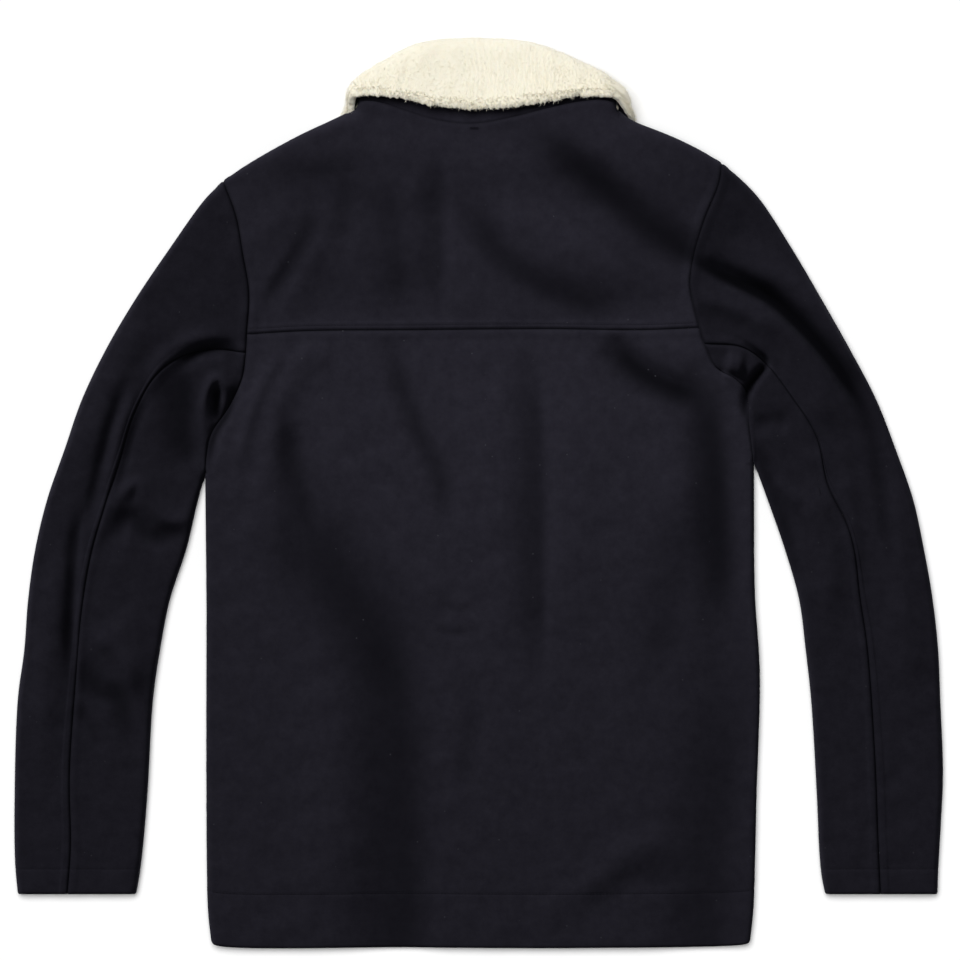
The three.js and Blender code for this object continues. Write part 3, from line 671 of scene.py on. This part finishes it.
def wool_look(name, deep, pale):
    """Melton: matt, with painted shade that darkens its colour in its troughs and seams, and with specks of
    lint.
    """
    look, shader, wool, shade = felted_look(name, deep, pale, 0.0006, {
        "Roughness": 0.95,
        "Specular IOR Level": 0.05,
        "Sheen Weight": 0.03,
        "Sheen Roughness": 0.55,
        "Sheen Tint": (0.55, 0.58, 0.75, 1),
    })
    tree = look.node_tree
    spread = add_node(tree, "ShaderNodeMapRange", {"From Min": 0.3, "From Max": 0.7})
    trough = add_node(tree, "ShaderNodeAttribute", attribute_name="painted_shade")
    # painted shade: the colour is mixed toward TROUGH_SHADE as far as the attribute says
    painted_shade_mix = add_node(tree, "ShaderNodeMix", {"B": (*TROUGH_SHADE, 1)}, data_type="RGBA")
    lint_mix = add_node(tree, "ShaderNodeMix", {"B": (0.042, 0.042, 0.05, 1)}, data_type="RGBA")
    join(tree,
         (wool, "Nap", spread, "Value"),
         (spread, "Result", shade, "Factor"),
         (shade, "Result", painted_shade_mix, "A"),
         (trough, "Fac", painted_shade_mix, "Factor"),
         (painted_shade_mix, "Result", lint_mix, "A"),
         (wool, "Lint", lint_mix, "Factor"),
         (lint_mix, "Result", shader, "Base Color"))
    return look


TROUGH_SHADE = (0.0024, 0.0023, 0.0038)     # painted shade: the colour of the cloth deep in its troughs and seams
brushed_wool = brushed_wool_group()
navy_melton = wool_look("navy_melton", (0.0124, 0.0115, 0.0174), (0.0192, 0.0182, 0.0262))

BODY_EDGES = [
    (left["shoulder"], -1),
    (right["shoulder"], 1),
    (left["side"], 1),
    (right["side"], -1),
    (Line(SIDES["left"]["outer"][:6]), 1),
    (Line(SIDES["right"]["outer"][:6]), -1),
]


def steps_along(line, step=GRID_STEP):
    return int(line.length / step)


shoulder_count = steps_along(left["shoulder"])
yoke_top = np.concatenate([
    left["shoulder"].places(shoulder_count, "sewn", "plain")[:-1],
    neck_back.places(steps_along(neck_back), "folded", "folded"),
    right["shoulder"].places(shoulder_count, "sewn", "plain")[-2::-1],
])
yoke_bottom = yoke_seam.places(len(yoke_top), "folded", "folded")
yoke_rows = steps_along(right["armhole_back"])
yoke_sides = (side["armhole_back"].places(yoke_rows, "folded", "sewn", TOPSTITCH) for side in (left, right))
yoke_places = fill(yoke_top, yoke_bottom, *yoke_sides)
fronts = ["front_left_wool", "front_right_wool"]
wool_wall("yoke_wool", "yoke", *cloth(yoke_places, BODY_EDGES, "back"), ("first", "last", "start", "end"),
          [("last", TOPSTITCH)], dict(flat=(0.475, 0.225), held="laid", rests_on=fronts, area=0.087))

# The back panel: one wide piece of the same melton below the yoke, with a turned-up hem that is
# stitched through, so that its line shows all the way across.
HEM = -418
HEM_TURN_UP = 50            # from the bottom edge to the stitches


def back_side(side, yoke_end):
    """One side of the back panel, from the yoke down the armhole and the side seam to the hem."""
    armhole = side["armhole_back_low"]
    return np.concatenate([
        Line([yoke_end, armhole.beads[0]]).places(11, "sewn", "plain"),
        armhole.places(48, "plain", "folded")[1:],
        side["side"].places(152, "plain", "sewn", HEM_TURN_UP)[1:],
    ])


hem_line = Line([(-246, -413), (-242, HEM + 2), (-60, HEM), (100, HEM - 0.5), (246, HEM + 3), (250, -413)])
back_top = yoke_seam.places(190, "folded", "folded")
back_bottom = hem_line.places(190, "folded", "folded")
back_places = fill(back_top, back_bottom, back_side(left, (-213, 146)), back_side(right, (203, 152)))
wool_wall("back_wool", "back_panel", *cloth(back_places, BODY_EDGES, "back"), ("first", "start", "end"),
          [("last", HEM_TURN_UP)], dict(flat=(0.53, 0.585), held="laid", rests_on=fronts, area=0.298))

# The two fronts: the same melton, face down on the table and hidden in the picture. They are sewn to the
# yoke, the back panel, the sleeves and the collar, and the left one laps over the right one when worn.
LAP_LEFT_EDGE = 24
LAP_RIGHT_EDGE = -19


def front(word, side, edge, rise):
    top = np.concatenate([
        side["shoulder"].places(30, "sewn", "plain"),
        side["neck_front"].places(30, "plain", "plain")[1:],
        [(edge, side["neck_front"].beads[-1, 1] - 3)],
    ])
    outer = np.concatenate([
        side["armhole_front"].places(36, "folded", "sewn"),
        side["armhole_front_low"].places(20, "sewn", "folded")[1:],
        side["side"].places(62, "plain", "sewn")[1:],
    ])
    corner = outer[-1]
    hem = Line([corner, (corner[0] - 4 * np.sign(corner[0]), HEM + 3), (edge, HEM + 1)])
    bottom = hem.places(len(top), "folded", "sewn")
    front_line = Line([top[-1], bottom[-1]])
    front_edge = front_line.at(shares(outer) * front_line.length)
    points, faces = cloth(fill(top, bottom, outer, front_edge), BODY_EDGES, "front", rise)
    wool_wall(f"front_{word}_wool", f"front_{word}", points, faces, ("first", "start"),
              [("last", HEM_TURN_UP)], dict(flat=(0.29, 0.80), held="laid", rests_on=["table"], area=0.198))


front("left", left, LAP_LEFT_EDGE, None)
front("right", right, LAP_RIGHT_EDGE, lap_rise)

# The sleeves: each a top sleeve, which goes from its back seam round the outer fold to beneath, and a
# narrower under sleeve. Both are melton, sewn into the armhole, with cuffs turned up and stitched through.
CUFF_TURN_UP = 23
UNDERARM_STEP = 2.0         # the under sleeves bunch in small creases at the underarm


def sleeve(node, side, way, fold, back_hole, front_hole, flat, area):
    """One piece of a sleeve, from its back seam round a fold of the sleeve to its front seam."""
    edges = [(side["shoulder"], -way), (side["outer"], way), (side["inner"], -way)]
    rows = steps_along(side[fold], GRID_STEP if fold == "outer" else UNDERARM_STEP)
    layers = []
    for layer, hole, start, end in (("back", back_hole, side["back_seam"], side[fold]),
                                    ("front", front_hole, side[fold], side["front_seam"])):
        start_end = ("sewn", "folded") if layer == "back" else ("folded", "sewn")
        cuff = Line([start.beads[-1], (start.beads[-1] + end.beads[-1]) / 2, end.beads[-1]])
        places = fill(hole, cuff.places(len(hole), *start_end),
                      start.places(rows, "sewn", "sewn", CUFF_TURN_UP),
                      end.places(rows, "sewn", "sewn", CUFF_TURN_UP))
        layers.append(cloth(places, edges, layer))
    points, faces = (np.concatenate([upper, lower[:, 1:]], axis=1) for upper, lower in zip(*layers))
    wool_wall(f"{node}_wool", node, points, faces, ("first", "start", "end"), [("last", CUFF_TURN_UP)],
              dict(flat=flat, held="laid", rests_on=["table"], area=area), sleeve_cloth)


for word, side, way in (("left", left, 1), ("right", right, -1)):
    high = side["armhole_back"].places(60, "folded", "plain")
    yoke_end = Line([side["armhole_back_low"].beads[0], high[-1]])
    top_back_hole = np.concatenate([yoke_end.places(10, "sewn", "plain")[:-1], high[::-1]])
    top_front_hole = side["armhole_front"].places(34, "folded", "sewn")
    sleeve(f"top_sleeve_{word}", side, way, "outer", top_back_hole, top_front_hole, (0.22, 0.70), 0.115)
    under_back_hole = side["armhole_back_low"].places(44, "sewn", "folded")
    under_front_hole = side["armhole_front_low"].places(22, "sewn", "folded")[::-1]
    sleeve(f"under_sleeve_{word}", side, way, "inner", under_back_hole, under_front_hole, (0.13, 0.54),
           0.046)

# The sewing thread: polyester in the wool's own colour, lockstitched through the turnings above the yoke
# seam, the hem and the cuffs. A short bar tack under the collar holds the end of a hanger loop inside.
# Its thread is painted near black, as painted shadow of the small dent that it pulls into the cloth.
STITCH_PITCH = 3.1
STITCH = 2.3                # length of one stitch that shows
THREAD = 0.42               # thickness
BAR_TACK = (-4.1, 334.9)
BAR_TACK_STITCHES = 9


def stitch_points(start, end, facing):
    """One stitch: a thread that comes up through the cloth, lies on it and goes down again."""
    run = end - start
    across = unit(np.cross(facing, run))
    rings = []
    for share, lift in ((0, -0.3), (0.12, 0.12), (0.5, 0.2), (0.88, 0.12), (1, -0.3)):
        middle = start + run * share + facing * lift
        for turn in np.radians((45, 135, 225, 315)):
            rings.append(middle + (across * math.cos(turn) + facing * math.sin(turn)) * THREAD / 2)
    return np.stack(rings, axis=-2)


def stitches_along(points, facing):
    """Starts, ends and facings of the stitches in a run."""
    walked = walk(points)
    starts = np.arange(2, walked[-1] - STITCH - 2, STITCH_PITCH)
    ends = starts + STITCH
    return (walked_to(points, walked, starts), walked_to(points, walked, ends),
            unit(walked_to(facing, walked, starts)))


def bar_tack():
    x = BAR_TACK[0] + np.linspace(-3.6, 3.6, BAR_TACK_STITCHES)
    low, high = (np.stack([x, np.full(x.shape, BAR_TACK[1] + dy)], axis=-1) for dy in (-1.1, 1.1))
    start, facing = cloth(low, BODY_EDGES, "back")
    end = cloth(high, BODY_EDGES, "back")[0]
    return start + facing * TURNING_RISE, end + facing * TURNING_RISE, facing


def thread_faces(threads, rings, corners):
    """Faces of many short threads, each made of rings with a few corners."""
    corner = np.arange(rings - 1)[:, None] * corners + np.arange(corners)
    after = np.roll(corner, -1, axis=1)
    one = np.stack([corner, after, after + corners, corner + corners], axis=-1).reshape(-1, 4)
    return (np.arange(threads)[:, None, None] * rings * corners + one).reshape(-1, 4)


def sewn_thread(name, runs, look):
    """All stitches of some runs, each a bent four-sided thread."""
    points = np.concatenate([stitch_points(*run) for run in runs])
    piece(name, points.reshape(-1, 3), thread_faces(len(points), 5, 4), look)


navy_thread = wool_look("navy_thread", (0.0110, 0.0102, 0.0155), (0.0150, 0.0140, 0.0205))
# painted shadow: the bar tack's thread takes the colour of the painted shade in the troughs
bar_tack_painted_shadow = wool_look("bar_tack_painted_shadow", TROUGH_SHADE, TROUGH_SHADE)
sewn_thread("sewing_thread", [stitches_along(*run) for run in stitched_runs], navy_thread)
sewn_thread("bar_tack", [bar_tack()], bar_tack_painted_shadow)

# The collar's wool side: melton, sewn to the neck edge with the pile. Up the stand, over the fold and down
# the leaf it lies inside the fold, so all that shows of it is the dark back of the stand below the leaf.
COLLAR_TURN = 6             # between the two layers of the folded collar, at the back of the pile
COLLAR_GAP = 0.3            # between the stand and the neck edge
COLLAR = table("at rollX rollY rollZ edgeX edgeY edgeZ", [
    # at: 0 to 1 the left front, 1 to 2 the back of the neck, 2 to 3 the right front
    (0.0, -6, 296, 8.4, -34, 236, 5.35),
    (0.35, -48, 312, 8.4, -78, 240, 5.35),
    (0.7, -80, 342, 8.4, -116, 272, 5.35),
    (0.9, -100, 360, 9, -125, 320, 5.35),
    (0.96, -106, 365, 12, -123, 339, 5.5),
    (0.98, -109, 367, 16, -118, 350, 13),
    (1.0, -112.5, 368.5, 20, -114.5, 351.5, 19),
    (1.06, -106, 376, 26, -110, 364.5, 33),
    (1.16, -86, 388.5, 23, -82, 366, 35),
    (1.3, -50, 406.5, 17, -44, 359, 33),
    (1.45, -4, 410, 14, -2, 355.5, 31),
    (1.6, 46, 406.5, 17, 42, 359, 33),
    (1.82, 94, 388, 23, 90, 365, 35),
    (1.94, 117, 375, 26, 121, 364, 33),
    (2.0, 129.5, 366.5, 19.5, 135, 350, 18),
    (2.04, 121, 364, 12, 139, 339, 5.8),
    (2.1, 115, 359, 9, 139, 320, 5.35),
    (2.3, 95, 342, 8.4, 129, 272, 5.35),
    (2.65, 58, 312, 8.4, 90, 240, 5.35),
    (3.0, 14, 296, 8.4, 44, 236, 5.35),
])


def between(rows, name, at):
    """A value of the collar's table at any place along the neck seam, changing smoothly."""
    places = np.array([row["at"] for row in rows])
    values = np.array([row[name] for row in rows])
    index = np.clip(np.searchsorted(places, at), 1, len(rows) - 1)
    before, after = np.maximum(index - 2, 0), np.minimum(index + 1, len(rows) - 1)
    a, b = values[index - 1], values[index]
    span = places[index] - places[index - 1]
    slope_a = (b - values[before]) / (places[index] - places[before]) * span
    slope_b = (values[after] - a) / (places[after] - places[index - 1]) * span
    return eased((at - places[index - 1]) / span, a, b, slope_a, slope_b)


def neck_loop():
    """The neck seam all the way round: place along it, from 0 to 3, and point of the cloth it is sewn to."""
    stretches = ((left["neck_front"].places(44, "plain", "plain")[::-1], "front", None),
                 (neck_back.places(130, "folded", "folded"), "back", None),
                 (right["neck_front"].places(44, "plain", "plain"), "front", lap_rise))
    at, points = [], []
    for start, (places, layer, rise) in enumerate(stretches):
        keep = slice(0 if start == 0 else 1, None)
        at.append((start + shares(places))[keep])
        points.append(cloth(places, BODY_EDGES, layer, rise)[0][keep])
    return np.concatenate(at), np.concatenate(points)


def collar_middle(at, seam_points, count, start=0):
    """Sections of the folded collar along the back of the pile, from the neck seam to the leaf's edge."""
    roll, edge = (np.stack([between(COLLAR, kind + axis, at) for axis in "XYZ"], axis=-1)
                  for kind in ("roll", "edge"))
    up = unit(roll - seam_points)
    out = unit(np.cross(np.gradient(seam_points, axis=0), up))
    half = COLLAR_TURN / 2
    seam = seam_points - out * (CLOTH + SEAM_GAP / 2) + up * COLLAR_GAP
    stand_top, leaf_top = roll - (up + out) * half, roll - (up - out) * half
    stand, leaf = (seam + stand_top) / 2, (leaf_top + edge) / 2
    bends = np.stack([seam, stand, stand_top, roll, leaf_top, leaf, edge], axis=1)
    chains = [smooth_chain(row, 16) for row in bends]
    return np.stack([walked_to(chain, shares(chain), np.linspace(start, 1, count)) for chain in chains])


def facings(grid):
    """The way each point of a grid faces."""
    return unit(np.cross(np.gradient(grid, axis=1), np.gradient(grid, axis=0)))


neck_at, neck_points = neck_loop()
collar_back = collar_middle(neck_at, neck_points, 44)
collar_facing = facings(collar_back)
collar_skin = collar_back - collar_facing * SEAM_GAP / 2
wool_wall("under_collar_wool", "under_collar", collar_skin, -collar_facing, (), (),
          dict(flat=(0.56, 0.115), held="folded", rests_on=["collar_fleece"], area=0.048), collar_cloth)

# The collar's fleece side: a deep curly pile on a knit back. It covers the inside of the stand and the
# top of the leaf, curls in small locks, and its edge shows as a row of uneven knobs of pile.
LEAF_PILE = 8
INNER_PILE = 5
FLEECE_START = 0.05         # share of the way from the neck seam to the leaf's edge, caught in the seam
LOCK_SIZE = 3.4             # of one curled lock of pile
FINE_LOCK_SIZE = 1.9        # of the finer curls between them
LOCK_HEIGHT = 0.75
LOCK_LEVEL = 0.7            # the height of the curls, from 0 to 1, that counts as the plain surface
EDGE_KNOB = 3.2             # width of the knobs along the leaf's edge
FINE_KNOB = 1.5
KNOB_REACH = 4.2
KNOB_WIDTH = 3.5            # of the strip along the edge that they push out
KNOB_LEVEL = 0.75
EDGE_CURL = 5               # width of the strip along the edge where the curls stand higher
SHOWN_ROWS = 330            # across the fleece, where it shows at the back of the neck
HIDDEN_ROWS = 28            # on each side of it, under the chest
FLEECE_COLUMNS = 92         # from the seam to the leaf's edge, besides those of the rounded edge
EDGE_TURNS = (22, 44, 66, 84)   # degrees round the free edge, from each skin


def locks(u, v, size, seed):
    """Rounded bumps, one to a lock, jittered on a grid over the fleece: u and v in millimetres."""
    cells = np.stack([np.floor(u / size), np.floor(v / size)], axis=-1).astype(int)
    low = cells.reshape(-1, 2).min(0) - 1
    span = cells.reshape(-1, 2).max(0) + 2 - low
    jitter = np.random.default_rng(seed).random((span[0] + 1, span[1] + 1, 3))
    best = np.zeros(u.shape)
    for i in (-1, 0, 1):
        for j in (-1, 0, 1):
            cell = cells + (i, j) - low
            spot = jitter[cell[..., 0], cell[..., 1]]
            du = u / size - (cells[..., 0] + i + 0.15 + 0.7 * spot[..., 0])
            dv = v / size - (cells[..., 1] + j + 0.15 + 0.7 * spot[..., 1])
            bump = np.clip(1 - (du**2 + dv**2) / (0.75 + 0.25 * spot[..., 2]) ** 2, 0, 1) ** 0.6
            best = np.maximum(best, bump * (0.6 + 0.4 * spot[..., 2]))
    return best


def pile_depth(at, share):
    on_back = smooth((at - 0.95) / 0.15) * smooth((2.05 - at) / 0.15)
    return INNER_PILE + (LEAF_PILE - INNER_PILE) * on_back * smooth((share - 0.3) / 0.2)


def fleece_grids(at, seam_points, count):
    """Outer and inner skins of the fleece, rounded over at the leaf's free edge."""
    middle = collar_middle(at, seam_points, count, FLEECE_START)
    facing = facings(middle)
    share = np.linspace(0, 1, count)[None, :]
    from_end = np.minimum(np.arange(len(at)), np.arange(len(at))[::-1])[:, None] / 5
    depth = pile_depth(at[:, None], share) * np.sqrt(1 - (1 - np.clip(from_end, 0.06, 1)) ** 2)
    depth = depth * (0.3 + 0.7 * smooth(share * 10))
    back = middle + facing * SEAM_GAP / 2
    face = back + facing * depth[..., None]
    radius = depth[:, -1, None] / 2
    down = unit(middle[:, -1] - middle[:, -4])
    core = back[:, -1] + facing[:, -1] * radius

    def rounded(skin, way):
        turned = [core + radius * (down * math.sin(turn) + facing[:, -1] * way * math.cos(turn))
                  for turn in np.radians(EDGE_TURNS)]
        return np.concatenate([skin, np.stack(turned, axis=1)], axis=1)

    return rounded(face, 1), rounded(back, -1)


fine_at = np.concatenate([np.linspace(0, 0.93, HIDDEN_ROWS), np.linspace(0.935, 2.065, SHOWN_ROWS),
                          np.linspace(2.07, 3, HIDDEN_ROWS)])
fine_neck = walked_to(neck_points, neck_at, fine_at)
fleece_outer, fleece_inner = fleece_grids(fine_at, fine_neck, FLEECE_COLUMNS)
rows, columns = fleece_outer.shape[:2]
along_neck = beside(fleece_outer, "first").mean(1, keepdims=True)
u, v = np.broadcast_to(along_neck, (rows, columns)), beside(fleece_outer, "start")
to_edge = v[:, -1:] - v
at_edge = bell(to_edge, EDGE_CURL)
curl = locks(u, v, LOCK_SIZE, 11) + 0.45 * locks(u, v, FINE_LOCK_SIZE, 12)
swell = 0.5 * np.sin(u / 6.1 + 1.1 * np.sin(v / 7)) * np.sin(v / 8.3 + 0.8 * np.sin(u / 9))
ribs = 0.12 * np.sin(u / 0.62 + 2.2 * np.sin(v / 11)) * smooth((0.4 - np.sin(u / 31)) / 0.8)
rise = LOCK_HEIGHT * (0.55 + 0.9 * at_edge) * (curl - LOCK_LEVEL) + swell + ribs * (1 - at_edge)
fleece_outer = fleece_outer + facings(fleece_outer) * rise[..., None]
level = np.zeros(along_neck.shape)
knobs = locks(along_neck, level, EDGE_KNOB, 13) + 0.5 * locks(along_neck, level + 7, FINE_KNOB, 14)
knob_reach = KNOB_REACH * (knobs - KNOB_LEVEL)
down = unit(fleece_outer[:, -6:-5] - fleece_outer[:, -14:-13])
fleece_outer += down * (knob_reach * bell(to_edge, KNOB_WIDTH))[..., None]
fleece_inner[:, -len(EDGE_TURNS):] += down * knob_reach[..., None] * 0.8


def fleece_look(name, deep, pale):
    """Cream pile: a warmer, deeper cream and a paler one, mixed in soft patches by the nap pattern."""
    look, shader, wool, shade = felted_look(name, deep, pale, 0.0007, {
        "Roughness": 1.0,
        "Specular IOR Level": 0.1,
        "Sheen Weight": 0.25,
        "Sheen Roughness": 0.6,
        "Subsurface Weight": 0.12,
        "Subsurface Radius": (0.004, 0.003, 0.002),
    })
    wool.inputs["Nap Size"].default_value = 210
    wool.inputs["Fibre Size"].default_value = 2200
    join(look.node_tree, (wool, "Nap", shade, "Factor"), (shade, "Result", shader, "Base Color"))
    return look


cream_fleece = fleece_look("cream_fleece", (0.86, 0.80, 0.63), (0.95, 0.92, 0.80))
fleece = piece("collar_fleece", np.concatenate([fleece_outer.reshape(-1, 3), fleece_inner.reshape(-1, 3)]),
               wall_faces(rows, columns), cream_fleece, collar_cloth)
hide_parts("collar_pile")

# Loose ends of the pile: short curled fibres that stand out of the fleece, most of them lying over
# toward the leaf's edge. They blur its outline and its surface.
FIBRES = 7000
EDGE_FIBRES = 2900
FIBRE_LENGTH = 2.8
FIBRE_WIDTH = 0.24
EDGE_FIBRE_LENGTH = 1.2 * FIBRE_LENGTH
EDGE_FIBRE_WIDTH = 0.42


def fibre_mesh(points, facing, along, length, thick, seed):
    """Curled three-sided fibres: four rings each, the last drawn to a tip."""
    count = len(points)
    random = np.random.default_rng(seed)
    lean = unit(random.normal(0, 0.55, (count, 3)) + along * 0.55 + facing * 0.75)
    bend = unit(np.cross(lean, random.normal(size=(count, 3)))) * random.uniform(0.2, 0.8, (count, 1))
    size = length * random.uniform(0.55, 1.2, (count, 1))
    side = unit(np.cross(lean, random.normal(size=(count, 3))))
    other = np.cross(lean, side)
    rings = []
    for step, width in ((0, 1.0), (0.35, 0.9), (0.7, 0.65), (1.0, 0.15)):
        middle = points + size * (lean * step + bend * step**2) - facing * 0.4
        for turn in (0, 2 * math.pi / 3, 4 * math.pi / 3):
            rings.append(middle + (side * math.cos(turn) + other * math.sin(turn)) * thick / 2 * width)
    return np.stack(rings, axis=1).reshape(-1, 3), thread_faces(count, 4, 3)


def fibres_over(name, columns, count, length, thick, seed):
    """Fibres scattered over some columns of the fleece where it shows."""
    grid = fleece_outer[HIDDEN_ROWS:HIDDEN_ROWS + SHOWN_ROWS]
    random = np.random.default_rng(seed)
    normals = facings(grid)
    lengthwise = unit(np.gradient(grid, axis=1))
    row = random.integers(0, grid.shape[0] - 1, count)
    column = random.integers(columns[0], columns[1], count)
    part = random.random((count, 2, 1))
    points = (grid[row, column] + (grid[row + 1, column] - grid[row, column]) * part[:, 0]
              + (grid[row, column + 1] - grid[row, column]) * part[:, 1])
    fibres = fibre_mesh(points, normals[row, column], lengthwise[row, column], length, thick, seed + 1)
    piece(name, *fibres, cream_fleece, collar_cloth)


fibres_over("fleece_fibres", (40, columns - 9), FIBRES, FIBRE_LENGTH, FIBRE_WIDTH, 31)
fibres_over("fleece_edge_fibres", (columns - 9, columns - 2), EDGE_FIBRES, EDGE_FIBRE_LENGTH,
            EDGE_FIBRE_WIDTH, 47)
